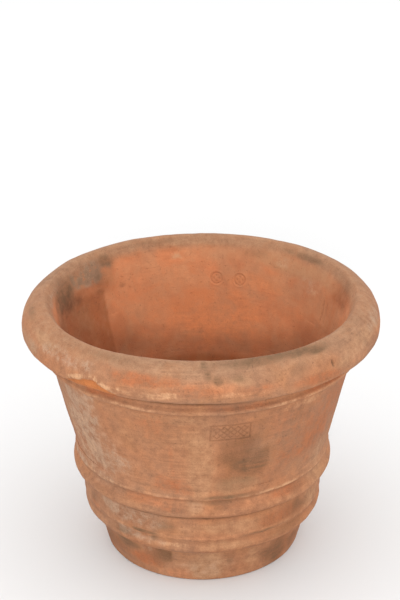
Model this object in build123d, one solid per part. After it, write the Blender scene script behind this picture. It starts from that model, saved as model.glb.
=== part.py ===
from build123d import *

import os

# Hand-built terracotta pot with a heavy rolled rim, a collar under the rim and two belts low on the wall.
# Millimetres, +Z up. The origin is the centre of the underside, where the pot stands on the ground.
# Each member of clay is a solid of its own, and meets its neighbours face to face where the potter
# bevelled, scored and joined them.

# Driving dimensions
RIM_DIAMETER = 500.0  # outermost point of the rim roll
HEIGHT = 382.4  # ground to the crest of the rim
BASE_DIAMETER = 282.0
WALL_TAPER = 0.24  # growth of the wall's radius for each millimetre of height
WALL_THICKNESS = 24.0  # measured level, from outer cone to inner cone
SLAB_THICKNESS = 22.0
DRAIN_DIAMETER = 30.0

# Heights of the bevelled joints between the courses of the wall: (edge outside, edge inside)
FOOT_JOINT = (138.0, 118.0)
TOP_JOINT = (312.0, 290.0)
WALL_TOP = 345.0  # lip of the top course, under the rim roll

BASE_EDGE_ROUND = 4.0  # worn lower edge of the slab
FLOOR_COVE = 14.0  # clay of the foot course worked down onto the slab

# Points of the bands' sections, each as (radius, height).
# Lower belt: a rounded lip over the foot, a shallow groove, then a bulge that dies into the wall
LOWER_BELT_BOTTOM = 58.5
LOWER_BELT_LIP = (171.7, 71.5)
LOWER_BELT_GROOVE = (170.4, 81.5)
LOWER_BELT_BULGE = (172.4, 88.5)

# Upper belt: a fuller lip that covers the lower belt's top, a groove, and a small bead above it
UPPER_BELT_BOTTOM = 124.0
UPPER_BELT_LIP = (186.3, 136.0)
UPPER_BELT_GROOVE = (180.1, 152.0)
UPPER_BELT_BEAD = (183.1, 158.0)
UPPER_BELT_TOP = 166.0
BEAD_SHOULDER = 3.0  # how far below the belt's top its bead turns in

# Collar: a beaded lower edge with a cove above it, under the rim
COLLAR_BOTTOM = 305.0
COLLAR_BEAD = (223.2, 309.5)
COLLAR_COVE = (219.0, 317.5)
COLLAR_TOP = (220.8, 323.5)
COVE_SHOULDER = 2.0  # how far below the collar's top its cove turns out

# Rim roll
RIM_WIDEST_HEIGHT = 347.0
RIM_CREST_RADIUS = 219.0
RIM_UNDERSIDE = (243.0, 336.0)  # where the sloping underside turns up into the roll
RIM_FULLNESS = 0.5  # of the roll's outer quarter

ROUND = 0.55  # fullness that makes a corner close to elliptical


def outside(z):
    """Point of the wall's outer cone at a height."""
    return (BASE_DIAMETER / 2 + WALL_TAPER * z, z)


def inside(z):
    """Point of the wall's inner cone at a height."""
    return (outside(z)[0] - WALL_THICKNESS, z)


def toward(start, end, share):
    """Point a given share of the way from start to end."""
    return tuple(a + share * (b - a) for a, b in zip(start, end))


def rounded(start, end, corner, fullness=ROUND):
    """Curve from start to end that fills the corner between them."""
    return Bezier(start, toward(start, corner, fullness), toward(end, corner, fullness), end)


def flowing(start, end):
    """S-shaped curve that leaves and arrives upright."""
    middle = (start[1] + end[1]) / 2
    return Bezier(start, (start[0], middle), (end[0], middle), end)


def ring(*edges):
    """Solid of revolution about +Z of the section that the edges close, given as (radius, height)."""
    return revolve(Plane.XZ * make_face(edges), Axis.Z)


def base_slab():
    """Round floor with a drain hole, whose rim carries the wall."""
    drain = DRAIN_DIAMETER / 2
    worn_start = (BASE_DIAMETER / 2 - BASE_EDGE_ROUND, 0)
    worn_end = outside(BASE_EDGE_ROUND)
    return ring(
        Line((drain, 0), worn_start),
        rounded(worn_start, worn_end, outside(0)),
        Polyline(worn_end, outside(SLAB_THICKNESS), (drain, SLAB_THICKNESS), (drain, 0)),
    )


def foot_course():
    """Lowest course of the wall, standing on the slab and coved into the floor inside."""
    seat = outside(SLAB_THICKNESS)
    cove_top = inside(SLAB_THICKNESS + FLOOR_COVE)
    cove_toe = (inside(SLAB_THICKNESS)[0] - FLOOR_COVE, SLAB_THICKNESS)
    return ring(
        Polyline(seat, outside(FOOT_JOINT[0]), inside(FOOT_JOINT[1]), cove_top),
        rounded(cove_top, cove_toe, inside(SLAB_THICKNESS)),
        Line(cove_toe, seat),
    )


def body_course():
    """Tall middle course of the wall."""
    return ring(
        Polyline(
            outside(FOOT_JOINT[0]),
            outside(TOP_JOINT[0]),
            inside(TOP_JOINT[1]),
            inside(FOOT_JOINT[1]),
            outside(FOOT_JOINT[0]),
        )
    )


def top_course():
    """Short top course of the wall, which the collar and the rim roll wrap."""
    return ring(
        Polyline(
            outside(TOP_JOINT[0]),
            outside(WALL_TOP),
            inside(WALL_TOP),
            inside(TOP_JOINT[1]),
            outside(TOP_JOINT[0]),
        )
    )


def lower_belt():
    """Belt over the foot: rounded lip, shallow groove, bulge."""
    bottom, top = outside(LOWER_BELT_BOTTOM), outside(UPPER_BELT_BOTTOM)
    return ring(
        rounded(bottom, LOWER_BELT_LIP, (LOWER_BELT_LIP[0], LOWER_BELT_BOTTOM)),
        flowing(LOWER_BELT_LIP, LOWER_BELT_GROOVE),
        flowing(LOWER_BELT_GROOVE, LOWER_BELT_BULGE),
        rounded(LOWER_BELT_BULGE, top, (LOWER_BELT_BULGE[0], UPPER_BELT_BOTTOM)),
        Line(top, bottom),
    )


def upper_belt():
    """Belt over the joint of the foot and body courses: full lip, groove, bead."""
    bottom, top = outside(UPPER_BELT_BOTTOM), outside(UPPER_BELT_TOP)
    return ring(
        rounded(bottom, UPPER_BELT_LIP, (UPPER_BELT_LIP[0], UPPER_BELT_BOTTOM)),
        flowing(UPPER_BELT_LIP, UPPER_BELT_GROOVE),
        flowing(UPPER_BELT_GROOVE, UPPER_BELT_BEAD),
        rounded(UPPER_BELT_BEAD, top, (UPPER_BELT_BEAD[0], UPPER_BELT_TOP - BEAD_SHOULDER)),
        Line(top, bottom),
    )


def collar_band():
    """Band under the rim, over the joint of the body and top courses."""
    bottom = outside(COLLAR_BOTTOM)
    edge = (toward(bottom, COLLAR_BEAD, 0.6)[0], COLLAR_BOTTOM)
    return ring(
        Line(bottom, edge),
        rounded(edge, COLLAR_BEAD, (COLLAR_BEAD[0], COLLAR_BOTTOM)),
        flowing(COLLAR_BEAD, COLLAR_COVE),
        rounded(COLLAR_COVE, COLLAR_TOP, (COLLAR_COVE[0], COLLAR_TOP[1] - COVE_SHOULDER)),
        Polyline(COLLAR_TOP, outside(COLLAR_TOP[1]), bottom),
    )


def rim_coil():
    """Thick coil that wraps the lip of the wall and overhangs the collar."""
    widest = (RIM_DIAMETER / 2, RIM_WIDEST_HEIGHT)
    crest = (RIM_CREST_RADIUS, HEIGHT)
    below_widest = (widest[0], toward(widest, COLLAR_TOP, 0.65)[1])
    return ring(
        Line(outside(COLLAR_TOP[1]), COLLAR_TOP),
        Bezier(COLLAR_TOP, RIM_UNDERSIDE, below_widest, widest),
        rounded(widest, crest, (widest[0], HEIGHT), RIM_FULLNESS),
        rounded(crest, inside(WALL_TOP), (inside(HEIGHT)[0], HEIGHT)),
        Polyline(inside(WALL_TOP), outside(WALL_TOP), outside(COLLAR_TOP[1])),
    )


MEMBERS = (
    base_slab,
    foot_course,
    body_course,
    top_course,
    lower_belt,
    upper_belt,
    collar_band,
    rim_coil,
)

os.makedirs("parts", exist_ok=True)
for member in MEMBERS:
    export_step(member(), f"parts/{member.__name__}.step")
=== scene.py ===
import math

import bpy
import numpy as np
from mathutils import Matrix, Vector


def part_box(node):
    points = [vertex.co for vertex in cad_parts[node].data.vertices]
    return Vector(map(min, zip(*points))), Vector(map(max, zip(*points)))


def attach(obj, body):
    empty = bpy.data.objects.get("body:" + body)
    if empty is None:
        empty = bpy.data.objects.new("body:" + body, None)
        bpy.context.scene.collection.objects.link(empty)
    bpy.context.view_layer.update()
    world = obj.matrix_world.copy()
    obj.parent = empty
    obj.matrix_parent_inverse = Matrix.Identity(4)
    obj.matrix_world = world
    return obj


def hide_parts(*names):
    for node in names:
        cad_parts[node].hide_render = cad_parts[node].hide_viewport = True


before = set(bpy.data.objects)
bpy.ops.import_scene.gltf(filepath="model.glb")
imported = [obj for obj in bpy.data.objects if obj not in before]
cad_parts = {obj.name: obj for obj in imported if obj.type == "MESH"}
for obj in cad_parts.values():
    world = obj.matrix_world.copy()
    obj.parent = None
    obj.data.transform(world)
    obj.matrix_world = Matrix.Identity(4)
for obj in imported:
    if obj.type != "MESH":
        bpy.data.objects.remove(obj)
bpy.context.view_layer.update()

# The looks of a hand-built terracotta pot. Shapes are worked out in millimetres around the pot's axis
# and written to the meshes in metres. Angles go round the pot from the front (-Y), positive towards +X,
# so 180 degrees is the back, where the lining is seen over the front of the rim.
MM = 0.001


# ---------------------------------------------------------------------------------------------
# Sizes, from the frame
# ---------------------------------------------------------------------------------------------

def span(node):
    """Lowest height, highest height and greatest radius of a CAD node, in millimetres."""
    low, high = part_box(node)
    return low.z / MM, high.z / MM, high.x / MM


_, SLAB_TOP, SLAB_RADIUS = span("base_slab")
_, FOOT_JOINT_OUT, _ = span("foot_course")
FOOT_JOINT_IN, TOP_JOINT_OUT, BODY_RADIUS = span("body_course")
TOP_JOINT_IN, WALL_TOP, _ = span("top_course")
LOWER_BELT_BOTTOM, LOWER_BELT_TOP, LOWER_BELT_RADIUS = span("lower_belt")
UPPER_BELT_BOTTOM, UPPER_BELT_TOP, UPPER_BELT_RADIUS = span("upper_belt")
COLLAR_BOTTOM, COLLAR_TOP, COLLAR_RADIUS = span("collar_band")
_, RIM_TOP, RIM_RADIUS = span("rim_coil")

WALL_TAPER = (BODY_RADIUS - SLAB_RADIUS) / (TOP_JOINT_OUT - SLAB_TOP)
BASE_RADIUS = SLAB_RADIUS - WALL_TAPER * SLAB_TOP
WALL_THICKNESS = 24.0  # this and the drain are as in the CAD, and can't be read from its boxes
DRAIN_RADIUS = 15.0

ROUND = 0.55  # fullness that makes a corner close to elliptical
SINK = 2.0  # how far a belt's hidden face reaches into the wall it is joined to


def outside(z, proud=0.0):
    """Point of the wall's outer cone at a height, or proud of it."""
    return (BASE_RADIUS + WALL_TAPER * z + proud, z)


def inside(z):
    """Point of the wall's inner cone at a height."""
    return outside(z, -WALL_THICKNESS)


# Points of the section that the members' outlines and the marks share
LOWER_LIP = (LOWER_BELT_RADIUS - 0.7, LOWER_BELT_BOTTOM + 13)
LOWER_GROOVE = (LOWER_BELT_RADIUS - 2.0, LOWER_BELT_BOTTOM + 23)
LOWER_BEAD = (LOWER_BELT_RADIUS, LOWER_BELT_BOTTOM + 30)
UPPER_LIP = (UPPER_BELT_RADIUS, UPPER_BELT_BOTTOM + 12)
UPPER_GROOVE = (UPPER_BELT_RADIUS - 6.2, UPPER_BELT_TOP - 14)
UPPER_BEAD = (UPPER_BELT_RADIUS - 3.2, UPPER_BELT_TOP - 8)
COLLAR_LIP = (COLLAR_RADIUS, COLLAR_BOTTOM + 4.5)
COLLAR_COVE = (COLLAR_RADIUS - 4.2, COLLAR_TOP - 6)
RIM_HEEL = (COLLAR_RADIUS - 2.4, COLLAR_TOP)
RIM_WIDEST = (RIM_RADIUS, RIM_TOP - 35.4)
RIM_CREST = (RIM_RADIUS - 31, RIM_TOP)


def quarter(z, low):
    """Share of its reach that a quarter circle has at a height, from 1 at low to 0 at the crest."""
    return math.sqrt(max(0.0, 1 - (max(z - low, 0) / (RIM_TOP - low)) ** 2))


def face(z):
    """Radius of the pot's outside at a height."""
    if z > RIM_WIDEST[1]:
        return RIM_CREST[0] + (RIM_WIDEST[0] - RIM_CREST[0]) * quarter(z, RIM_WIDEST[1])
    outline = [
        outside(0), outside(LOWER_BELT_BOTTOM), LOWER_LIP, LOWER_BEAD, outside(UPPER_BELT_BOTTOM), UPPER_LIP,
        UPPER_GROOVE, outside(UPPER_BELT_TOP + 5), outside(COLLAR_BOTTOM), COLLAR_LIP, RIM_HEEL, RIM_WIDEST,
    ]
    radii, heights = zip(*outline)
    return float(np.interp(z, heights, radii))


def bowl(z):
    """Radius of the lining at a height."""
    if z > WALL_TOP:
        return RIM_CREST[0] - (RIM_CREST[0] - inside(WALL_TOP)[0]) * quarter(z, WALL_TOP)
    return inside(z)[0]


# ---------------------------------------------------------------------------------------------
# Sections
# ---------------------------------------------------------------------------------------------

def toward(start, end, share):
    """Point a given share of the way from start to end."""
    return tuple(a + share * (b - a) for a, b in zip(start, end))


class Section:
    """Closed outline of a member, as (radius, height) points, each edge either skin or a hidden face."""

    def __init__(self, start):
        self.points = [tuple(start)]
        self.skin = []

    def bezier(self, a, b, end, step, skin=True):
        """Curve with two handles, cut into edges of about one step."""
        p = np.array([self.points[-1], a, b, end], float)
        count = max(1, round(np.linalg.norm(np.diff(p, axis=0), axis=1).sum() / step))
        for t in np.arange(1, count + 1) / count:
            weights = np.array([(1 - t) ** 3, 3 * (1 - t) ** 2 * t, 3 * (1 - t) * t * t, t ** 3])
            self.points.append(tuple(weights @ p))
            self.skin.append(skin)
        return self

    def line(self, end, step=1.7, skin=True):
        """Straight stretch, cut into edges of about one step."""
        start = self.points[-1]
        return self.bezier(toward(start, end, 1 / 3), toward(start, end, 2 / 3), end, step, skin)

    def hidden(self, *ends):
        """Straight faces that lie against other members, and carry no relief."""
        for end in ends:
            self.line(end, 8.0, False)
        return self

    def rounded(self, corner, end, step=1.2, fullness=ROUND):
        """Curve that fills the corner on the way to its end."""
        start = self.points[-1]
        return self.bezier(toward(start, corner, fullness), toward(end, corner, fullness), end, step)

    def flowing(self, end, step=1.0):
        """S-shaped stretch that leaves and arrives upright."""
        start = self.points[-1]
        middle = (start[1] + end[1]) / 2
        return self.bezier((start[0], middle), (end[0], middle), end, step)

    def arrays(self):
        """The outline's points, the distance along it, the outward normal of its skin at each point (zero
        between hidden faces), and whether it runs anticlockwise."""
        points = np.array(self.points[:-1])
        edge = np.roll(points, -1, 0) - points
        length = np.linalg.norm(edge, axis=1)
        area = (points[:, 0] * np.roll(points[:, 1], -1) - np.roll(points[:, 0], -1) * points[:, 1]).sum()
        skin = np.array(self.skin, float)
        across = math.copysign(1, area) * np.stack([edge[:, 1], -edge[:, 0]], 1) * (skin / length)[:, None]
        normal = across + np.roll(across, 1, 0)
        normal /= np.maximum(np.linalg.norm(normal, axis=1), 1e-9)[:, None]
        along = np.concatenate([[0], np.cumsum(length)[:-1]])
        return points, along, normal, area > 0


# ---------------------------------------------------------------------------------------------
# Noise and pressed marks
# ---------------------------------------------------------------------------------------------

TABLET = {"angle": 10.5, "height": 271.0, "half_width": 26.8, "half_height": 12.2, "lozenge": 9.0}
STAMP_ANGLES = (172.7, 162.1)
STAMP_HEIGHT = 320.5
STAMP_RADIUS = 9.5
PETAL_RADIUS = 4.2
TOOL_ANGLE = 114.0
TOOL_SPAN = (296, 336)
NICK_ANGLE = 43.6
# Scar of a flake under the rim: its edge is highest at the angle, and slopes down to both sides
FLAKE = {
    "angle": -34.5,
    "left_reach": 12,
    "right_reach": 11,
    "top": 354.5,
    "left_slope": 0.3,
    "right_slope": 0.46,
    "foot": 330.0,
    "depth": 1.6,
}
# Slip smeared in strokes over the lower face of the rim
SMEAR_ANGLE = -28
SMEAR_REACH = 0.5  # radians each way
SMEAR_TOP = 352


def columns():
    """Angles of the mesh's columns: even round the pot, finer across the pressed marks."""
    coarse, fine = 0.92, 0.24
    marked = [
        (TABLET["angle"] - 8.5, TABLET["angle"] + 8.5),
        (NICK_ANGLE - 1.2, NICK_ANGLE + 1.2),
        (STAMP_ANGLES[1] - 4, STAMP_ANGLES[0] + 4),
    ]
    start, parts = -180.0, []
    for low, high in marked:
        parts.append(np.linspace(start, low, round((low - start) / coarse), endpoint=False))
        parts.append(np.linspace(low, high, round((high - low) / fine), endpoint=False))
        start = high
    parts.append(np.linspace(start, 180.0, round((180.0 - start) / coarse), endpoint=False))
    return np.radians(np.concatenate(parts))


ANGLES = columns()


def smooth(t):
    """Smooth step of a value clipped to 0 and 1."""
    t = np.clip(t, 0, 1)
    return t * t * (3 - 2 * t)


def lattice(angle, height, around, tall, seed):
    """Smooth noise from -1 to 1 in cells a given height tall, that closes on itself around the pot."""
    rows = 128
    table = np.random.default_rng(seed).uniform(-1, 1, (rows, around))
    u, v = angle / (2 * math.pi) * around, height / tall + rows
    i, j = np.floor(u).astype(int), np.floor(v).astype(int)
    fu, fv = smooth(u - i), smooth(v - j)

    def corner(di, dj):
        return table[(j + dj) % rows, (i + di) % around]

    low = corner(0, 0) * (1 - fu) + corner(1, 0) * fu
    high = corner(0, 1) * (1 - fu) + corner(1, 1) * fu
    return low * (1 - fv) + high * fv


def clay(angle, along, seed):
    """Relief of worked clay: slow lumps, finger-wide unevenness and fine turning ridges."""
    return (
        0.50 * lattice(angle, along, 26, 38, seed)
        + 0.32 * lattice(angle, along + 11, 61, 17, seed + 1)
        + 0.17 * lattice(angle, along, 130, 8, seed + 2)
        + 0.09 * lattice(angle, along, 22, 5.2, seed + 3)
        + 0.06 * lattice(angle, along, 190, 4.6, seed + 4)
    )


def arc(angle, degrees, radius):
    """Distance along the surface from a direction, in millimetres."""
    turn = (angle - math.radians(degrees) + math.pi) % (2 * math.pi) - math.pi
    return turn * radius


def turned(angle, degrees):
    """Angle round the pot from a direction, in degrees from -180 to 180."""
    return arc(angle, degrees, math.degrees(1))


def groove(distance, half_width):
    """1 on a line, falling to 0 beside it."""
    return np.exp(-((distance / half_width) ** 2))


def tablet(angle, z, radius):
    """Depth of a shallow pressed rectangle: a border line and a plain lozenge lattice inside it."""
    u = arc(angle, TABLET["angle"], radius)
    v = z - TABLET["height"]
    edge = np.maximum(np.abs(u) - TABLET["half_width"], np.abs(v) - TABLET["half_height"])
    inner = smooth((-edge - 1.5) / 2)
    falling, rising = [groove(np.sin(d * math.pi / TABLET["lozenge"]), 0.35) for d in (u + v, u - v)]
    floor = 0.3 * smooth(-edge / 1.5)
    border = 1.3 * groove(edge, 1.2)
    return floor + border + 0.9 * inner * np.clip(falling + rising, 0, 1)


def stamps(angle, z, radius):
    """Depth of round pressed marks: a plain ring, four dimples inside it and a slight burr around it."""
    total = np.zeros_like(angle)
    for degrees in STAMP_ANGLES:
        u = arc(angle, degrees, radius)
        v = z - STAMP_HEIGHT
        d = np.hypot(u, v)
        petals = 0.5 + 0.5 * np.cos(4 * np.arctan2(v, u))
        total += 0.6 * groove(d - STAMP_RADIUS + 1.2, 1.1)
        total += 0.65 * petals * groove(d - PETAL_RADIUS, 1.5)
        total += 0.25 * smooth((STAMP_RADIUS - d) / 2)
        total -= 0.35 * groove(d - STAMP_RADIUS - 1.4, 1.2)
    return total


def tool_marks(angle, z, radius):
    """Depth of two upright strokes left in the lining by a wooden tool."""
    low, high = TOOL_SPAN
    upright = smooth((z - low) / 8) * smooth((high - z) / 8)
    first = groove(arc(angle, TOOL_ANGLE, radius), 2.6)
    second = groove(arc(angle, TOOL_ANGLE - 3, radius), 2.2)
    return upright * (1.5 * first + 1.0 * second)


# Hollows and chips of the rim: (degrees, height, half width, half height, depth)
RIM_CHIPS = (
    (NICK_ANGLE, 361, 2.4, 4.5, 2.2),
    (-47, 350, 8, 4, 0.5),
    (3, 381, 5, 5, 0.5),
    (-63, 374, 9, 5, 0.6),
    (62, 373, 6, 4, 0.6),
    (-150, 352, 5, 4, 1.2),
    (118, 360, 7, 4, 1.0),
    (-104, 381, 6, 5, 0.8),
)


def spot(place, drift, degrees, at_radius, height, wide, tall):
    """Distance from a patch's centre, 1 at its edge. Points on the other side of the wall are far off."""
    angle, radius, z = place
    u = arc(angle, degrees, at_radius) / wide + drift[0]
    v = (z - height) / tall + drift[1]
    apart = (radius - at_radius - WALL_TAPER * (z - height)) / (WALL_THICKNESS / 2)
    return np.sqrt(u * u + v * v + apart * apart)


def chips(angle, radius, z):
    """Depth of the rim's hollows and chips."""
    total = np.zeros_like(angle)
    for degrees, height, wide, tall, depth in RIM_CHIPS:
        distance = spot((angle, radius, z), (0, 0), degrees, face(height), height, wide, tall)
        total += depth * groove(distance ** 2, 1)
    return total


def flake_depth(angle, z):
    """Distance below the broken edge of the flake, in millimetres."""
    across = arc(angle, FLAKE["angle"], RIM_RADIUS)
    slope = np.where(across < 0, FLAKE["left_slope"], FLAKE["right_slope"])
    ripple = 0.9 * lattice(angle, z, 260, 400, 97)
    return FLAKE["top"] + ripple - np.sqrt((slope * across) ** 2 + 4) - z


def flake_range(angle, fade=1.0):
    """1 at the angles where the flake came off, 0 elsewhere. A greater fade softens both ends."""
    degrees = turned(angle, FLAKE["angle"])
    left = smooth((degrees + FLAKE["left_reach"]) / (3 * fade))
    return left * smooth((FLAKE["right_reach"] - degrees) / (5 * fade))


# ---------------------------------------------------------------------------------------------
# Stains and painted shadow, each (degrees, height, half width, half height, strength)
# ---------------------------------------------------------------------------------------------

# soot: black from the kiln. shade: darker clay, and on the lining also painted shadow.
# lime: pale grey bloom. rust: red-brown clay. sand: yellower, paler clay. amber: bright orange clay.
# cream: pale flecks and rubbed edges, with a painted highlight on the collar's bead.

# Outside, by degrees from the front
OUTSIDE_STAINS = {
    "soot": (
        # Crest and face of the rim
        (25, 381.5, 94, 5.5, 0.62),
        (-30, 380, 44, 4, 0.25),
        (41, 379.5, 28, 5, 0.65),
        (18, 380, 50, 4, 0.5),
        (-79, 376, 30, 6, 0.35),
        (0.5, 380, 6, 9, 0.6),
        (1.5, 372, 6, 9, 0.45),
        (4.5, 367, 9, 6, 0.45),
        (11, 369, 11, 6, 0.4),
        (31, 367, 16, 10, 0.35),
        (22, 363, 18, 8, 0.2),
        (NICK_ANGLE, 361, 3, 5, 0.6),
        (62, 361, 9, 5, 0.3),
        (-66, 352, 30, 12, 0.2),
        # Wall
        (15, 240, 42, 54, 0.38),
        (20, 213, 38, 21, 0.6),
        (13, 185, 38, 20, 0.35),
        (21, 230, 32, 24, 0.45),
        (13, 276, 32, 12, 0.25),
        (14, 176, 26, 14, 0.2),
        (10, 160, 50, 3.5, 0.65),
        # Belts
        (8, 151, 36, 5, 0.5),
        (8, 147, 16, 11, 0.35),
        (44, 147, 14, 9, 0.3),
        (-17, 105, 18, 9, 0.35),
        (-28, 90, 22, 3, 0.65),
        (-23, 83, 7, 7, 0.4),
        (26, 88, 44, 2.5, 0.7),
        (-65, 100, 12, 9, 0.4),
        (50, 100, 24, 16, 0.4),
        (46, 77, 34, 9, 0.3),
        # Foot
        (-42, 76, 26, 5, 0.4),
        (-46, 43, 20, 10, 0.55),
        (-23, 42, 20, 16, 0.5),
        (-27, 30, 9, 14, 0.4),
        (-66, 32, 34, 26, 0.4),
        (45, 26, 26, 24, 0.5),
        (14.5, 37, 6, 14, 0.4),
        (62, 30, 22, 26, 0.4),
        # Sides that the front view hides
        (-118, 362, 40, 12, 0.45),
        (-140, 230, 50, 38, 0.45),
        (140, 200, 36, 30, 0.55),
        (118, 300, 30, 9, 0.3),
        (165, 90, 40, 16, 0.45),
        (-100, 84, 30, 10, 0.4),
        (-160, 34, 44, 18, 0.55),
        (110, 36, 30, 16, 0.4),
        (158, 370, 50, 10, 0.45),
    ),
    "shade": (
        (15, 232, 40, 62, 0.55),
        (-36, 317, 44, 6, 0.3),
        (-38, 77, 36, 6, 0.6),
        (42, 76, 60, 7, 0.4),
        (40, 240, 50, 60, 0.3),
        (-62, 95, 24, 30, 0.25),
        (-74, 230, 40, 90, 0.35),
        (76, 240, 40, 90, 0.15),
        (-25, 380, 100, 7, 0.4),
        (52, 375, 34, 8, 0.35),
        (38, 102, 60, 14, 0.6),
        (48, 90, 32, 28, 0.3),
        (52, 28, 44, 28, 0.6),
        (-60, 28, 40, 28, 0.6),
        (-22, 38, 20, 18, 0.3),
        (-30, 100, 60, 16, 0.4),
        (-42, 344, 10, 8, 0.4),
        (-105, 290, 60, 60, 0.5),
        (-150, 240, 60, 70, 0.6),
        (120, 260, 44, 60, 0.5),
        (-130, 92, 60, 30, 0.6),
    ),
    "lime": (
        (-52, 232, 40, 64, 0.95),
        (-40, 204, 34, 40, 0.55),
        (-57, 286, 16, 18, 0.75),
        (-48, 155, 34, 14, 0.5),
        (-70, 158, 34, 8, 0.6),
        (-40, 107, 64, 14, 0.7),
        (-35, 79, 42, 8, 0.7),
        (-32, 47, 14, 5, 0.5),
        (-37, 364, 12, 11, 0.75),
        (-50, 365, 52, 12, 0.7),
        (-17, 158, 20, 5, 0.25),
        (-4, 147, 12, 9, 0.3),
        (58, 360, 40, 10, 0.2),
        (-68, 354, 40, 14, 0.35),
        (78, 368, 44, 14, 0.5),
        (3, 24, 50, 22, 0.3),
        (58, 184, 24, 18, 0.3),
        (-46, 292, 12, 20, 0.5),
        (-60, 190, 30, 30, 0.4),
        (-110, 190, 40, 30, 0.6),
        (150, 250, 60, 40, 0.4),
        (96, 120, 30, 26, 0.4),
        (-170, 360, 60, 12, 0.5),
    ),
    "rust": (
        (-16, 275, 36, 36, 0.45),
        (15, 316, 60, 6, 0.5),
        (64, 272, 46, 56, 0.65),
        (-14, 178, 26, 16, 0.65),
        (-50, 174, 34, 7, 0.45),
        (-56, 262, 7, 12, 0.5),
        (-12.3, 225, 3, 70, 0.35),
        (48, 242, 60, 70, 0.5),
        (31, 275, 30, 24, 0.4),
        (-28, 146, 44, 10, 0.35),
        (-14, 139, 24, 5, 0.6),
        (-14, 155, 20, 3, 0.5),
        (-46, 364, 24, 8, 0.6),
        (-22, 365, 36, 11, 0.85),
        (-30, 370, 24, 7, 0.4),
        (-10, 364, 20, 8, 0.5),
        (-4, 352, 44, 10, 0.5),
        (16, 352, 30, 9, 0.5),
        (40, 349, 50, 8, 0.65),
        (-36, 318, 44, 6, 1.0),
        (52, 317, 40, 6, 0.8),
        (-36, 25, 28, 12, 0.7),
        (38, 147, 40, 8, 0.6),
        (34, 104, 40, 12, 0.5),
        (-64, 88, 18, 10, 0.5),
        (-120, 230, 40, 40, 0.6),
        (170, 180, 70, 26, 0.6),
        (110, 356, 40, 10, 0.6),
        (-170, 120, 60, 16, 0.6),
    ),
    "sand": (
        (-2, 225, 20, 74, 0.6),
        (-14, 264, 50, 34, 0.5),
        (14, 180, 44, 18, 0.6),
        (14, 103, 70, 12, 0.6),
        (24, 147, 20, 8, 0.4),
        (60, 184, 30, 22, 0.7),
        (80, 208, 34, 32, 0.7),
        (-12, 293, 44, 10, 0.6),
        (66, 366, 60, 14, 0.6),
        (-60, 370, 44, 8, 0.8),
        (-72, 350, 40, 14, 0.5),
        (12, 366, 20, 7, 0.5),
        (50, 358, 24, 9, 0.6),
        (-4, 146, 12, 12, 0.7),
        (62, 147, 30, 14, 0.6),
        (8, 75, 40, 8, 0.55),
        (62, 100, 24, 18, 0.7),
        (3, 27, 26, 30, 0.9),
        (30, 32, 18, 22, 0.5),
        (-66, 240, 30, 60, 0.4),
        (68, 280, 40, 40, 0.4),
        (-95, 366, 50, 12, 0.6),
        (-100, 250, 30, 40, 0.5),
        (150, 120, 30, 16, 0.5),
        (-178, 30, 40, 26, 0.6),
        (105, 210, 30, 40, 0.5),
    ),
    "amber": (
        (1, 356, 40, 13, 0.8),
        (-22, 148, 56, 10, 0.7),
        (-18, 157, 40, 4, 0.6),
        (24, 146, 30, 8, 0.6),
        (-14, 11, 24, 11, 0.8),
        (4, 89, 60, 3.5, 0.7),
        (-20, 200, 40, 50, 0.4),
        (-64, 28, 40, 30, 0.7),
        (62, 28, 40, 30, 0.7),
        (-160, 270, 50, 40, 0.6),
        (130, 348, 50, 10, 0.6),
        (150, 92, 40, 8, 0.6),
    ),
    "cream": (
        (-16, 347, 60, 6, 0.5),
        (12, 349, 70, 5, 0.25),
        # Pale lines on the collar's bead: rubbed wear with a painted highlight
        (-28, 309.5, 70, 3, 0.4),
        (35, 309.5, 50, 3, 0.4),
        (38, 295, 40, 7, 0.3),
        (-54, 210, 40, 60, 0.25),
        (34, 157, 70, 3.5, 0.5),
        (-46, 157, 24, 4, 0.4),
        (-12, 76, 30, 4, 0.4),
        (-160, 346, 60, 5, 0.3),
        (120, 310, 60, 3, 0.5),
        (160, 76, 60, 4, 0.4),
    ),
}

# Lining and inner side of the crest, by degrees from the back
LINING_STAINS = {
    "soot": (
        (-73, 352, 46, 26, 0.72),
        (-72, 338, 26, 14, 0.65),
        (-72, 368, 40, 6, 0.45),
        (-58, 361, 44, 16, 0.5),
        (-49, 356, 34, 20, 0.5),
        (-42, 363, 15, 14, 0.6),
        (-37, 327, 8, 4, 0.4),
        (-49, 329, 14, 6, 0.25),
        (24, 361, 26, 8, 0.35),
        (20, 361, 5, 6, 0.4),
        (51, 374, 26, 5, 0.5),
        (40, 376, 14, 4, 0.3),
        (-20, 378, 60, 4, 0.3),
    ),
    "shade": (
        (-72, 300, 80, 60, 0.6),
        (-72, 345, 50, 26, 0.5),
        # Painted shadow at the left edge of the lamp's light on the lining
        (-43, 262, 40, 50, 0.35),
        (-48, 346, 40, 26, 0.5),
        (-63, 312, 44, 28, 0.9),
        # Painted shadow on the lining's right, beyond the lamp's light
        (60, 272, 80, 44, 0.3),
        (72, 318, 40, 44, 0.35),
        (80, 354, 50, 24, 0.65),
        (66, 330, 20, 26, 0.2),
    ),
    "lime": (
        (-53, 358, 40, 15, 0.95),
        (-82, 371, 50, 6, 0.5),
        (39, 357, 18, 8, 0.3),
        (54, 337, 26, 14, 0.35),
    ),
    "rust": (
        (-6, 290, 60, 26, 0.25),
        (14, 352, 10, 8, 0.3),
        (-58, 340, 20, 6, 0.5),
        (-12, 366, 26, 5, 0.4),
        (-30, 366, 20, 6, 0.35),
    ),
    "sand": (
        (-60, 358, 40, 14, 0.6),
        (-27, 350, 20, 16, 0.25),
        (10, 358, 44, 12, 0.4),
        (30, 325, 60, 14, 0.3),
        (44, 356, 90, 14, 0.7),
        (0, 374, 80, 5, 0.5),
    ),
    "amber": (
        (6, 266, 90, 44, 0.6),
        (26, 318, 50, 14, 0.45),
    ),
    "cream": (
        (-10, 356, 14, 8, 0.4),
        (-7, 336, 12, 8, 0.25),
        (38, 356, 14, 8, 0.3),
        (60, 334, 24, 14, 0.3),
    ),
}

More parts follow.
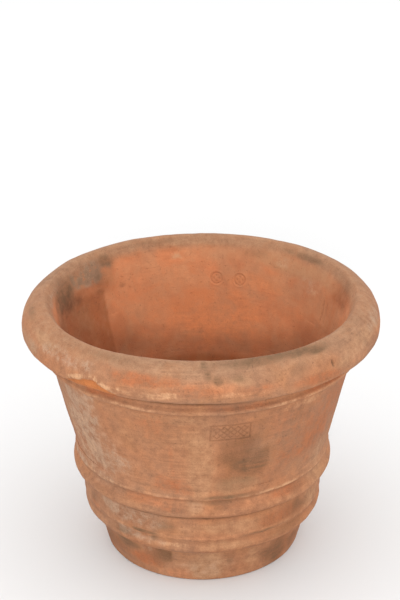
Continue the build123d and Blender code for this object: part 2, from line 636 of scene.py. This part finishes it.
# Browner upright zones, where pots stood against each other in the kiln: (degrees of the side that fades,
# degrees of the crisp side, lowest, highest, strength)
OUTSIDE_ZONES = (
    (4, 27.5, 198, 246, 0.55),
    (-40, -16.5, 24, 60, 0.7),
    (95, 37, -10, 48, 0.3),
    (-95, -45, -10, 48, 0.3),
    (-164, -122, 182, 290, 0.6),
    (110, 137, 60, 122, 0.5),
    (140, 178, 170, 250, 0.4),
)
LINING_ZONES = ((-105, -47.5, 205, 338, 0.72),)


def wander(angle, z):
    """Two fields of noise that move the edges of stains sideways and up or down."""
    return [
        0.34 * lattice(angle, z, 24, 46, seed) + 0.24 * lattice(angle, z, 78, 15, seed + 1)
        for seed in (201, 211)
    ]


def lined(radius, z):
    """True on the lining's side of the wall."""
    return radius < outside(z)[0] - WALL_THICKNESS / 2


def zone(place, drift, faded, edge, low, high):
    """1 inside an upright zone that is crisp at one side, fades towards the other, and has soft ends."""
    angle, _, z = place
    side = math.copysign(1, edge - faded)
    inward = 1.2 * drift[0] - side * turned(angle, edge)
    onward = side * turned(angle, faded)
    along = np.abs(z - (low + high) / 2 + 20 * drift[1]) - (high - low) / 2
    return smooth(0.5 + inward / 2.2) * smooth(onward / 18) * smooth(0.5 - along / 26)


def shadows(place, drift):
    """Strength of the browner zones at each point."""
    behind = lined(place[1], place[2])
    total = np.zeros_like(place[0])
    for faded, edge, low, high, strength in OUTSIDE_ZONES:
        total = np.maximum(total, ~behind * strength * zone(place, drift, faded, edge, low, high))
    for faded, edge, low, high, strength in LINING_ZONES:
        total = np.maximum(total, behind * strength * zone(place, drift, 180 - faded, 180 - edge, low, high))
    return total


def stain(place, drift, name):
    """Strength of the strongest patch of one kind at each point."""
    spots = [(degrees, face(height), height, *rest) for degrees, height, *rest in OUTSIDE_STAINS[name]]
    spots += [(180 - degrees, bowl(height), height, *rest) for degrees, height, *rest in LINING_STAINS[name]]
    total = np.zeros_like(place[0])
    for *where, strength in spots:
        total = np.maximum(total, strength * smooth((1.5 - spot(place, drift, *where)) / 1.15))
    return total


# Lines where members meet, grooves and inner corners, darkened as painted shade: (radius, height, reach,
# strength)
SHADED_CREASES = (
    (*outside(LOWER_BELT_BOTTOM), 4.0, 1.0),
    (*outside(UPPER_BELT_BOTTOM), 5.0, 1.0),
    (*outside(COLLAR_BOTTOM), 4.0, 1.0),
    (*RIM_HEEL, 4.5, 1.0),
    (*UPPER_GROOVE, 3.0, 0.3),
    (*LOWER_GROOVE, 3.5, 0.3),
    (*outside(UPPER_BELT_TOP + 4), 5.0, 0.1),
    (*inside(FOOT_JOINT_IN), 2.5, 0.3),
    (*inside(SLAB_TOP), 14.0, 0.8),
    (DRAIN_RADIUS, 10.0, 9.0, 0.8),
)
# Lines that stand proud, rubbed paler and lightened with a painted highlight: (radius, height, reach,
# strength)
HIGHLIT_RIDGES = (
    (*LOWER_LIP, 6.0, 0.3),
    (*LOWER_BEAD, 6.0, 0.4),
    (*UPPER_LIP, 9.0, 0.4),
    (*UPPER_BEAD, 3.5, 0.7),
    (*COLLAR_LIP, 2.6, 0.45),
)


def near(lines, radius, z):
    """How near a point is to the closest of several lines round the pot, from 0 to 1."""
    total = np.zeros_like(z)
    for at_radius, height, reach, strength in lines:
        total = np.maximum(total, strength * groove(np.hypot(radius - at_radius, z - height), reach))
    return total


# ---------------------------------------------------------------------------------------------
# Meshes
# ---------------------------------------------------------------------------------------------

# Places where the rim stands high or low: (degrees, half width in degrees, rise)
RIM_SWELLS = ((-12, 24, 1.3), (45, 26, -1.4), (-40, 16, -1.2), (150, 40, 0.7), (-132, 42, 0.9))


def warp(angle, radius, z):
    """Moves points so that the whole pot is a little out of round and its bands rise and fall."""
    swell = 0.5 * lattice(angle, z, 9, 400, 91)
    for degrees, width, rise in RIM_SWELLS:
        swell = swell + rise * groove(turned(angle, degrees), width)
    bands = 0.7 * lattice(angle, z, 11, 60, 92) + 0.35 * lattice(angle, z, 37, 45, 93)
    oval = 0.6 * lattice(angle, z, 5, 160, 94) * smooth(z / 60)
    upper = smooth((z - 300) / 60)
    lift = swell * upper + bands * smooth((z - 20) / 40) * (1 - upper)
    return radius + oval, np.maximum(z + lift, 0)


def lining_share(radius, z):
    """1 on the lining, 0 outside and on the rim's crest."""
    depth = outside(z)[0] - radius
    return smooth((depth - 15) / 8) * smooth((RIM_TOP - 7 - z) / 17)


# Painted shade in the pressed marks
MARK_SHADE = 0.4  # how dark the pressed marks are next to the creases
# Painted shade low in the lining, where little light reaches
DEEP_SHADE_TOP = 214.0  # the lining is darker below this height
SHARP_ANGLE = math.radians(36)  # edges that turn by more than this are not shaded smooth


def ring_mesh(name, co, anticlockwise):
    """Closed mesh of quads through a grid of points: rows along the section, columns round the pot."""
    rows, cols = co.shape[:2]
    i, j = np.meshgrid(np.arange(rows), np.arange(cols), indexing="ij")
    ni, nj = (i + 1) % rows, (j + 1) % cols
    quads = np.stack([i * cols + j, ni * cols + j, ni * cols + nj, i * cols + nj], -1).reshape(-1, 4)
    if anticlockwise:
        quads = quads[:, ::-1]
    mesh = bpy.data.meshes.new(name)
    mesh.vertices.add(rows * cols)
    mesh.vertices.foreach_set("co", co.astype(np.float32).ravel())
    mesh.loops.add(quads.size)
    mesh.loops.foreach_set("vertex_index", quads.astype(np.int32).ravel())
    mesh.polygons.add(len(quads))
    mesh.polygons.foreach_set("loop_start", np.arange(0, quads.size, 4, dtype=np.int32))
    mesh.update(calc_edges=True)
    mesh.shade_smooth()
    mesh.set_sharp_from_angle(angle=SHARP_ANGLE)
    return mesh


def masks_at(angle, radius, z, pressed):
    """Strength of each stain, each kind of wear, and the painted shade and highlights, at each point, by
    name.
    """
    place = (angle, radius, z)
    drift = wander(angle, z)
    masks = {kind: stain(place, drift, kind) for kind in OUTSIDE_STAINS}
    masks["shade"] = np.maximum(masks["shade"], shadows(place, drift))
    # Painted shade in the creases and the pressed marks
    masks["crease_shade"] = np.maximum(near(SHADED_CREASES, radius, z), MARK_SHADE * np.clip(pressed, 0, 1))
    # Rubbed wear with a painted highlight along the proud ridges
    masks["worn"] = near(HIGHLIT_RIDGES, radius, z)
    masks["lining"] = lining_share(radius, z)
    # Painted shade low in the lining
    masks["deep_shade"] = masks["lining"] * smooth((DEEP_SHADE_TOP - z) / 18)
    below = flake_depth(angle, z)
    on_rim = radius > RIM_HEEL[0]
    scar = smooth(below / 2 + 0.5) * smooth((z - FLAKE["foot"]) / 6)
    masks["flake"] = on_rim * flake_range(angle) * scar
    rubbed = on_rim * flake_range(angle, 1.6) * groove(below + 3.2, 4.0)
    masks["cream"] = np.maximum(masks["cream"], rubbed)
    return masks


def ring(name, section, relief):
    """Closed ring swept around the axis. relief(angle, along, radius, z) gives how far the skin stands
    proud and the depth of what is pressed into it, both in millimetres."""
    points, along, normal, anticlockwise = section.arrays()
    angle, radius = np.meshgrid(ANGLES, points[:, 0])
    z = np.repeat(points[:, 1:], len(ANGLES), 1)
    along = np.repeat(along[:, None], len(ANGLES), 1)
    proud, pressed = relief(angle, along, radius, z)
    move = proud - pressed
    warped, height = warp(angle, radius + move * normal[:, :1], z + move * normal[:, 1:])
    co = np.stack([warped * np.sin(angle), -warped * np.cos(angle), height], -1) * MM

    mesh = ring_mesh(name, co, anticlockwise)
    for mask, values in masks_at(angle, radius, z, pressed).items():
        layer = mesh.attributes.new(mask, "FLOAT", "POINT")
        layer.data.foreach_set("value", values.astype(np.float32).ravel())
    piece = bpy.data.objects.new(name, mesh)
    bpy.context.scene.collection.objects.link(piece)
    return piece


def plain_relief(seed, amount):
    """Relief of a member with nothing pressed into it."""

    def relief(angle, along, radius, z):
        return amount * clay(angle, along, seed), np.zeros_like(z)

    return relief


def course_relief(angle, along, radius, z):
    """Both faces of a course of the wall, continuous from course to course."""
    behind = lined(radius, z)
    proud = np.where(behind, 0.8 * clay(angle, z, 30), clay(angle, z, 10))
    lining = stamps(angle, z, radius) + tool_marks(angle, z, radius)
    return proud, np.where(behind, lining, tablet(angle, z, radius))


def slab_relief(angle, along, radius, z):
    """Skin of the slab: its side runs on into the foot course, and its underside is flat."""
    floor = 0.5 * clay(angle, radius, 50) * smooth((radius - DRAIN_RADIUS - 4) / 10) * smooth(z - 1)
    side, _ = course_relief(angle, along, radius, z)
    return np.where(radius > BASE_RADIUS - 5, side * smooth(z / 4), floor), np.zeros_like(z)


def flake_relief(angle, radius, z):
    """How far the flake's broken edge stands proud, less the depth of the scar below it."""
    below = flake_depth(angle, z)
    edge = 0.7 * flake_range(angle, 1.6) * groove(below + 1.2, 1.8)
    scar = FLAKE["depth"] * flake_range(angle) * smooth(below / 2.5) * smooth((z - FLAKE["foot"]) / 8)
    return smooth((radius - RIM_HEEL[0]) / 6) * (edge - scar)


def rim_relief(angle, along, radius, z):
    """Skin of the rim's roll, which runs on into the lining inside the crest."""
    outer = radius > RIM_CREST[0]
    rolled = np.where(outer, 1, smooth((z - WALL_TOP) / 12))
    lining, _ = course_relief(angle, along, radius, z)
    proud = clay(angle, along, 90) * rolled + lining * (1 - rolled)
    smear = outer * smooth((SMEAR_TOP - z) / 8) * groove(arc(angle, SMEAR_ANGLE, 1), SMEAR_REACH)
    proud += 0.6 * smear * lattice(angle, along, 150, 4, 98)
    return proud + flake_relief(angle, radius, z), chips(angle, radius, z) * rolled


def base_slab():
    """Round floor with a drain hole."""
    worn = 3.0
    section = Section((DRAIN_RADIUS, 0)).line((BASE_RADIUS - worn, 0), 4.0)
    section.rounded(outside(0), outside(worn), 1.0).line(outside(SLAB_TOP), 1.6)
    section.hidden((BASE_RADIUS - WALL_THICKNESS - 15, SLAB_TOP))
    section.line((DRAIN_RADIUS + 2, SLAB_TOP), 3.0)
    section.rounded((DRAIN_RADIUS, SLAB_TOP), (DRAIN_RADIUS, SLAB_TOP - 2), 0.8)
    section.line((DRAIN_RADIUS, 0), 2.5)
    return ring("base_slab_clay", section, slab_relief)


def foot_course():
    """Lowest course of the wall, coved into the floor."""
    cove = 14.0
    section = Section(outside(SLAB_TOP)).line(outside(LOWER_BELT_BOTTOM + 4), 1.6)
    section.hidden(outside(FOOT_JOINT_OUT), inside(FOOT_JOINT_IN)).line(inside(SLAB_TOP + cove), 2.2)
    section.rounded(inside(SLAB_TOP), (inside(SLAB_TOP)[0] - cove, SLAB_TOP), 1.6)
    section.hidden(outside(SLAB_TOP))
    return ring("foot_course_clay", section, course_relief)


def body_course():
    """Middle course of the wall, with finer rows across the pressed rectangle."""
    mark = TABLET["half_height"] + 3
    section = Section(outside(FOOT_JOINT_OUT)).line(outside(TABLET["height"] - mark), 1.9)
    section.line(outside(TABLET["height"] + mark), 0.9).line(outside(TOP_JOINT_OUT), 1.9)
    section.hidden(inside(TOP_JOINT_IN)).line(inside(FOOT_JOINT_IN), 2.6)
    section.hidden(outside(FOOT_JOINT_OUT))
    return ring("body_course_clay", section, course_relief)


def top_course():
    """Top course of the wall, with finer rows across the stamps. Only its lining shows."""
    mark = STAMP_RADIUS + 3
    section = Section(outside(TOP_JOINT_OUT)).hidden(outside(WALL_TOP), inside(WALL_TOP))
    section.line(inside(STAMP_HEIGHT + mark), 1.7).line(inside(STAMP_HEIGHT - mark), 0.9)
    section.line(inside(TOP_JOINT_IN), 1.7).hidden(outside(TOP_JOINT_OUT))
    return ring("top_course_clay", section, course_relief)


def lower_belt():
    """Belt over the foot: lip, shallow groove, bulge."""
    section = Section(outside(LOWER_BELT_BOTTOM, -SINK)).line(outside(LOWER_BELT_BOTTOM), 1.0)
    section.rounded((LOWER_LIP[0], LOWER_BELT_BOTTOM), LOWER_LIP, 1.0)
    section.flowing(LOWER_GROOVE).flowing(LOWER_BEAD)
    section.rounded((LOWER_BEAD[0] - 0.6, LOWER_BELT_TOP), outside(LOWER_BELT_TOP + 2), 1.4)
    section.hidden(outside(LOWER_BELT_TOP + 4, -SINK), outside(LOWER_BELT_BOTTOM, -SINK))
    return ring("lower_belt_clay", section, plain_relief(60, 0.9))


def upper_belt():
    """Fuller belt: lip, groove, small bead."""
    section = Section(outside(UPPER_BELT_BOTTOM, -SINK)).line(outside(UPPER_BELT_BOTTOM), 1.0)
    section.rounded((UPPER_LIP[0], UPPER_BELT_BOTTOM), UPPER_LIP, 1.0)
    section.flowing(UPPER_GROOVE).flowing(UPPER_BEAD, 0.8)
    section.rounded((UPPER_BEAD[0] - 0.8, UPPER_BEAD[1] + 6), outside(UPPER_BELT_TOP + 5), 1.2)
    section.hidden(outside(UPPER_BELT_TOP + 5, -SINK), outside(UPPER_BELT_BOTTOM, -SINK))
    return ring("upper_belt_clay", section, plain_relief(70, 0.7))


def collar_band():
    """Beaded band under the rim, with a cove."""
    edge = (outside(COLLAR_BOTTOM)[0] + 5.0, COLLAR_BOTTOM)
    section = Section(outside(COLLAR_BOTTOM, -SINK)).line(edge, 0.9)
    section.rounded((COLLAR_LIP[0], COLLAR_BOTTOM), COLLAR_LIP, 0.8)
    section.flowing(COLLAR_COVE, 0.9)
    section.rounded((COLLAR_COVE[0], COLLAR_TOP - 2), (RIM_HEEL[0] - 0.5, COLLAR_TOP + 1), 0.9)
    section.hidden(outside(COLLAR_TOP + 4), outside(COLLAR_TOP + 4, -SINK))
    section.hidden(outside(COLLAR_BOTTOM, -SINK))
    return ring("collar_band_clay", section, plain_relief(80, 0.55))


def rim_coil():
    """Thick rolled rim that wraps the lip of the wall."""
    elbow = (RIM_RADIUS - 7, RIM_TOP - 46.4)
    below = (RIM_RADIUS, toward(RIM_WIDEST, RIM_HEEL, 0.65)[1])
    section = Section(outside(COLLAR_TOP, -SINK)).line(RIM_HEEL, 1.2)
    section.bezier(elbow, below, RIM_WIDEST, 1.3)
    section.rounded((RIM_RADIUS, RIM_TOP), RIM_CREST, 1.3, 0.5)
    section.rounded(inside(RIM_TOP), inside(WALL_TOP), 1.3)
    section.hidden(outside(WALL_TOP), outside(COLLAR_TOP, -SINK))
    return ring("rim_coil_clay", section, rim_relief)


# ---------------------------------------------------------------------------------------------
# Materials
# ---------------------------------------------------------------------------------------------

LIGHT = 1.56  # how much brighter than its own colour the studio shows a surface


def clay_colour(red, green, blue):
    """Linear colour that looks like the given sRGB colour, 0 to 255, in the studio's light."""
    values = [c / 255 for c in (red, green, blue)]
    return tuple(((c + 0.055) / 1.055) ** 2.4 / LIGHT for c in values) + (1.0,)


class Nodes:
    """Short calls for building a material's nodes."""

    def __init__(self, name):
        self.material = bpy.data.materials.new(name)
        self.material.use_nodes = True
        self.tree = self.material.node_tree
        self.tree.nodes.clear()

    def new(self, kind, inputs=(), **settings):
        """A node with its settings, and with each input linked to a socket or set to a value."""
        node = self.tree.nodes.new(kind)
        for key, value in settings.items():
            setattr(node, key, value)
        for key, value in dict(inputs).items():
            if isinstance(value, bpy.types.NodeSocket):
                self.tree.links.new(value, node.inputs[key])
            else:
                node.inputs[key].default_value = value
        return node

    def math(self, operation, *values):
        return self.new("ShaderNodeMath", enumerate(values), operation=operation).outputs[0]

    def add(self, *values):
        """Sum of two or more values."""
        total = values[0]
        for value in values[1:]:
            total = self.math("ADD", total, value)
        return total

    def vector(self, operation, *values):
        return self.new("ShaderNodeVectorMath", enumerate(values), operation=operation).outputs["Vector"]

    def attribute(self, name):
        """A mask that the mesh carries."""
        return self.new("ShaderNodeAttribute", attribute_name=name).outputs["Fac"]

    def noise(self, place, scale, detail=2.0, roughness=0.5, distortion=0.0):
        inputs = {"Vector": place, "Scale": scale, "Detail": detail, "Roughness": roughness}
        inputs["Distortion"] = distortion
        return self.new("ShaderNodeTexNoise", inputs).outputs["Fac"]

    def range(self, value, low, high, to_low=0.0, to_high=1.0):
        """Smooth step of a value from low to high, given as to_low to to_high."""
        inputs = {"Value": value, "From Min": low, "From Max": high, "To Min": to_low, "To Max": to_high}
        return self.new("ShaderNodeMapRange", inputs, interpolation_type="SMOOTHSTEP").outputs["Result"]

    def mix(self, share, a, b, blend="MIX"):
        """Colour a, with colour b over a share of it."""
        inputs = {0: share, 6: a, 7: b}
        return self.new("ShaderNodeMix", inputs, data_type="RGBA", blend_type=blend).outputs[2]

    def surface(self, **inputs):
        """The material, finished with a surface whose inputs are given with _ for a space."""
        named = {key.replace("_", " "): value for key, value in inputs.items()}
        shader = self.new("ShaderNodeBsdfPrincipled", named)
        self.new("ShaderNodeOutputMaterial", {"Surface": shader.outputs[0]})
        return self.material


class Terracotta(Nodes):
    """Soft-fired clay: cloudy orange to brown, dusty crest, lime, soot, faint brush lines and pits."""

    def __init__(self):
        super().__init__("terracotta")
        self.place = self.new("ShaderNodeTexCoord").outputs["Object"]
        self.axes = self.new("ShaderNodeSeparateXYZ", {0: self.place}).outputs
        self.lining = self.attribute("lining")
        self.patchy = self.noise(self.place, 30.0, 4.0, 0.6, 0.4)
        self.mottled = self.noise(self.place, 95.0, 4.0, 0.65)
        self.grain = self.noise(self.place, 650.0, 2.0, 0.6)
        self.pits = self.range(self.noise(self.place, 300.0, 1.0, 0.5), 0.66, 0.74)
        self.lines = self.brush_lines()

    def by_side(self, outer, inner):
        """One value outside and another on the lining."""
        return self.range(self.lining, 0.0, 1.0, outer, inner)

    def brush_lines(self):
        """Lines left by turning and brushing, from -1 to 1: long round the pot and strong in places."""
        x, y = self.axes[0], self.axes[1]
        radius = self.math("SQRT", self.add(self.math("MULTIPLY", x, x), self.math("MULTIPLY", y, y)))
        lines = self.new("ShaderNodeTexNoise", {
            "Vector": self.vector("MULTIPLY", self.place, (26.0, 26.0, 300.0)),
            "W": self.math("MULTIPLY", radius, 300.0),
            "Scale": 1.0,
            "Detail": 3.0,
            "Roughness": 0.6,
        }, noise_dimensions="4D").outputs["Fac"]
        places = self.noise(self.vector("ADD", self.place, (0.9, 5.2, 2.4)), 11.0, 2.0)
        strength = self.range(places, 0.42, 0.66, 0.25, 1.0)
        return self.math("MULTIPLY", self.range(lines, 0.25, 0.75, -1.0, 1.0), strength)

    def ragged(self, name, low, high, strength, amount=0.5, streaks=0.12):
        """A stain's mask with its edge broken up by the mottling and the brush lines."""
        mask = self.attribute(name)
        breakup = self.add(
            self.range(self.mottled, 0.25, 0.75, -amount, amount),
            self.math("MULTIPLY", self.lines, streaks),
            self.range(self.patchy, 0.3, 0.7, -0.6 * amount, 0.6 * amount),
        )
        value = self.add(mask, self.math("MULTIPLY", mask, breakup))
        return self.range(value, low, high, 0.0, strength)

    def over(self, body, colour, name, *edge):
        """The colour so far with a stain's own colour over it. The edge is what ragged takes."""
        return self.mix(self.ragged(name, *edge), body, colour)

    def times(self, body, factor, name, *edge):
        """The colour so far, multiplied by a factor where the stain is."""
        return self.mix(self.ragged(name, *edge), body, factor, "MULTIPLY")

    def clean(self):
        """Colour of the clay before it was stained: brown outside, a brighter orange inside."""
        broad = self.range(self.noise(self.place, 7.0, 3.0, 0.55, 0.3), 0.38, 0.62)
        body = self.mix(broad, clay_colour(186, 134, 100), clay_colour(188, 127, 89))
        body = self.mix(self.range(self.patchy, 0.45, 0.68, 0.0, 0.6), body, clay_colour(196, 134, 92))
        body = self.mix(self.range(self.patchy, 0.32, 0.46, 0.45, 0.0), body, clay_colour(174, 122, 90))
        fired = self.range(self.patchy, 0.35, 0.65)
        inner = self.mix(fired, clay_colour(214, 146, 104), clay_colour(218, 139, 95))
        body = self.mix(self.lining, body, inner)
        clouds = self.noise(self.vector("ADD", self.place, (3.1, 1.7, 0.4)), 13.0, 3.0, 0.55, 0.6)
        shift = self.mix(self.range(clouds, 0.3, 0.7), (0.90, 0.91, 0.93, 1), (1.10, 1.07, 1.03, 1))
        return self.mix(1.0, body, shift, "MULTIPLY")

    def dusted(self, body):
        """The colour so far, with dust on the crest of the rim."""
        crest = self.range(self.axes[2], 0.356, 0.381)
        share = self.math("MULTIPLY", crest, self.math("SUBTRACT", 1.0, self.lining))
        share = self.math("MULTIPLY", share, self.range(self.mottled, 0.3, 0.7, 0.3, 0.75))
        return self.mix(share, body, clay_colour(176, 136, 105))

    def sooted(self, body):
        """The colour so far, with soot that is browner low in the lining and streaky outside."""
        low = self.math("MULTIPLY", self.lining, self.range(self.axes[2], 0.334, 0.35, 1.0, 0.0))
        soot = self.mix(low, clay_colour(116, 88, 63), clay_colour(110, 72, 48))
        return self.over(body, soot, "soot", 0.0, 1.0, 0.9, 0.32, self.by_side(0.6, 0.05))

    def stained(self, body):
        """The colour so far under every stain, each laid over those before it, with painted shade in the
        creases, the pressed marks and low in the lining, and a painted highlight on the ridges.
        """
        amber = self.mix(self.lining, clay_colour(206, 138, 97), clay_colour(240, 148, 94))
        body = self.over(body, clay_colour(198, 148, 109), "sand", 0.0, 0.9, 0.75, 0.35)
        body = self.over(body, amber, "amber", 0.0, 1.0, 0.85, 0.25)
        body = self.times(body, (0.65, 0.59, 0.53, 1), "shade", 0.05, 0.95, 1.0, 0.25)
        body = self.dusted(body)
        body = self.over(body, clay_colour(187, 112, 72), "rust", 0.0, 1.0, 0.85)
        # Paler wear with a painted highlight along the proud ridges
        body = self.over(body, clay_colour(208, 152, 112), "worn", 0.0, 1.0, 0.5, 0.8)
        body = self.over(body, clay_colour(190, 156, 129), "lime", 0.0, 1.0, 0.72, 0.8)
        body = self.over(body, clay_colour(204, 124, 70), "flake", 0.2, 0.8, 1.0, 0.2)
        # Pale flecks and rubbed edges, with a painted highlight on the collar's bead
        body = self.over(body, clay_colour(222, 170, 128), "cream", 0.1, 0.9, 0.8, 0.9)
        # Painted shade low in the lining
        body = self.times(body, (0.76, 0.68, 0.58, 1), "deep_shade", 0.05, 1.0, 1.0, 0.2)
        body = self.sooted(body)
        # Dark painted shade in the creases and the pressed marks
        return self.over(body, clay_colour(104, 66, 42), "crease_shade", 0.05, 0.9, 0.75, 0.3)

    def speckled(self, body):
        """The colour so far with its fine light and dark: mottling, grain, lines, drips, pits and salt."""
        drips = self.noise(self.vector("MULTIPLY", self.place, (150.0, 150.0, 17.0)), 1.0, 3.0, 0.6)
        fine = self.add(
            self.range(self.mottled, 0.25, 0.75, -0.13, 0.13),
            self.range(self.grain, 0.25, 0.75, -0.12, 0.12),
            self.math("MULTIPLY", self.lines, 0.11),
            self.range(drips, 0.3, 0.7, -0.045, 0.045),
        )
        fine = self.math("MULTIPLY", fine, self.by_side(1.0, 0.45))
        grains = self.range(self.noise(self.place, 520.0, 1.0, 0.5), 0.60, 0.68)
        salt = self.math("MULTIPLY", grains, self.attribute("lime"))
        tone = self.math("SUBTRACT", self.add(1.0, fine), self.math("MULTIPLY", self.pits, 0.14))
        tone = self.add(tone, self.math("MULTIPLY", salt, 0.25))
        grey = self.new("ShaderNodeCombineColor", {0: tone, 1: tone, 2: tone}).outputs[0]
        return self.mix(1.0, body, grey, "MULTIPLY")

    def bump(self):
        """Normal of the grainy, pitted surface."""
        height = self.add(
            self.math("MULTIPLY", self.grain, 0.35),
            self.math("MULTIPLY", self.mottled, 0.5),
            self.math("MULTIPLY", self.lines, 0.15),
        )
        height = self.math("SUBTRACT", height, self.math("MULTIPLY", self.pits, 0.7))
        inputs = {"Strength": 0.6, "Distance": 0.0009, "Height": height}
        return self.new("ShaderNodeBump", inputs).outputs[0]

    def finished(self):
        """The material."""
        return self.surface(
            Base_Color=self.speckled(self.stained(self.clean())),
            Roughness=self.range(self.mottled, 0.2, 0.8, 0.82, 0.96),
            Normal=self.bump(),
            Specular_IOR_Level=0.25,
        )


# ---------------------------------------------------------------------------------------------
# Studio
# ---------------------------------------------------------------------------------------------

# Camera, as fitted to the photograph: metres, and millimetres for the lens
VIEW_ELEVATION = math.radians(24.0)
VIEW_DISTANCE = 2.1053
VIEW_LENS = 90.43
VIEW_SENSOR = 36.0
VIEW_TARGET = Vector((-0.001, 0, 0.3702))
VIEW_ROLL = math.radians(-0.58)

LAMP_TARGET = Vector((0, 0, 0.3))


def make_camera():
    """Camera at the photograph's viewing angle."""
    data = bpy.data.cameras.new("camera")
    data.sensor_width = VIEW_SENSOR
    data.lens = VIEW_LENS
    camera = bpy.data.objects.new("camera", data)
    bpy.context.scene.collection.objects.link(camera)
    back = Vector((0, -math.cos(VIEW_ELEVATION), math.sin(VIEW_ELEVATION)))
    camera.location = VIEW_TARGET + back * VIEW_DISTANCE
    facing = (-back).to_track_quat("-Z", "Y").to_matrix()
    camera.rotation_euler = (facing @ Matrix.Rotation(VIEW_ROLL, 3, "Z")).to_euler()
    bpy.context.scene.camera = camera


def make_floor():
    """Plain pale floor under the pot."""
    mesh = bpy.data.meshes.new("floor")
    half = 12.0
    corners = [(-half, -half, 0), (half, -half, 0), (half, half, 0), (-half, half, 0)]
    mesh.from_pydata(corners, [], [(0, 1, 2, 3)])
    floor = bpy.data.objects.new("floor", mesh)
    pale = (0.66, 0.66, 0.66, 1)
    paint = Nodes("floor_paint").surface(Base_Color=pale, Roughness=0.9, Specular_IOR_Level=0.0)
    mesh.materials.append(paint)
    bpy.context.scene.collection.objects.link(floor)


def soft_light(name, degrees, elevation, distance, size, power):
    """Round soft lamp that faces its target from an angle round the pot and an elevation."""
    data = bpy.data.lights.new(name, "AREA")
    data.shape = "DISK"
    data.size = size
    data.energy = power
    light = bpy.data.objects.new(name, data)
    turn, rise = math.radians(degrees), math.radians(elevation)
    level = math.cos(rise)
    back = Vector((math.sin(turn) * level, -math.cos(turn) * level, math.sin(rise)))
    light.location = LAMP_TARGET + back * distance
    light.rotation_euler = (-back).to_track_quat("-Z", "Y").to_euler()
    bpy.context.scene.collection.objects.link(light)


def make_studio():
    """White surroundings, one soft lamp in front and the floor."""
    world = bpy.data.worlds.new("studio")
    bpy.context.scene.world = world
    world.use_nodes = True
    background = world.node_tree.nodes["Background"]
    background.inputs["Color"].default_value = (1, 1, 1, 1)
    background.inputs["Strength"].default_value = 1.5
    soft_light("key", degrees=-2.0, elevation=21.0, distance=4.0, size=0.4, power=57)
    make_floor()
    bpy.context.scene.view_settings.view_transform = "Standard"


# ---------------------------------------------------------------------------------------------
# Assembly
# ---------------------------------------------------------------------------------------------

MEMBERS = (base_slab, foot_course, body_course, top_course, lower_belt, upper_belt, collar_band, rim_coil)

clay_material = Terracotta().finished()
for member in MEMBERS:
    piece = member()
    piece.data.materials.append(clay_material)
    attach(piece, "root")
    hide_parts(member.__name__)

make_studio()
make_camera()
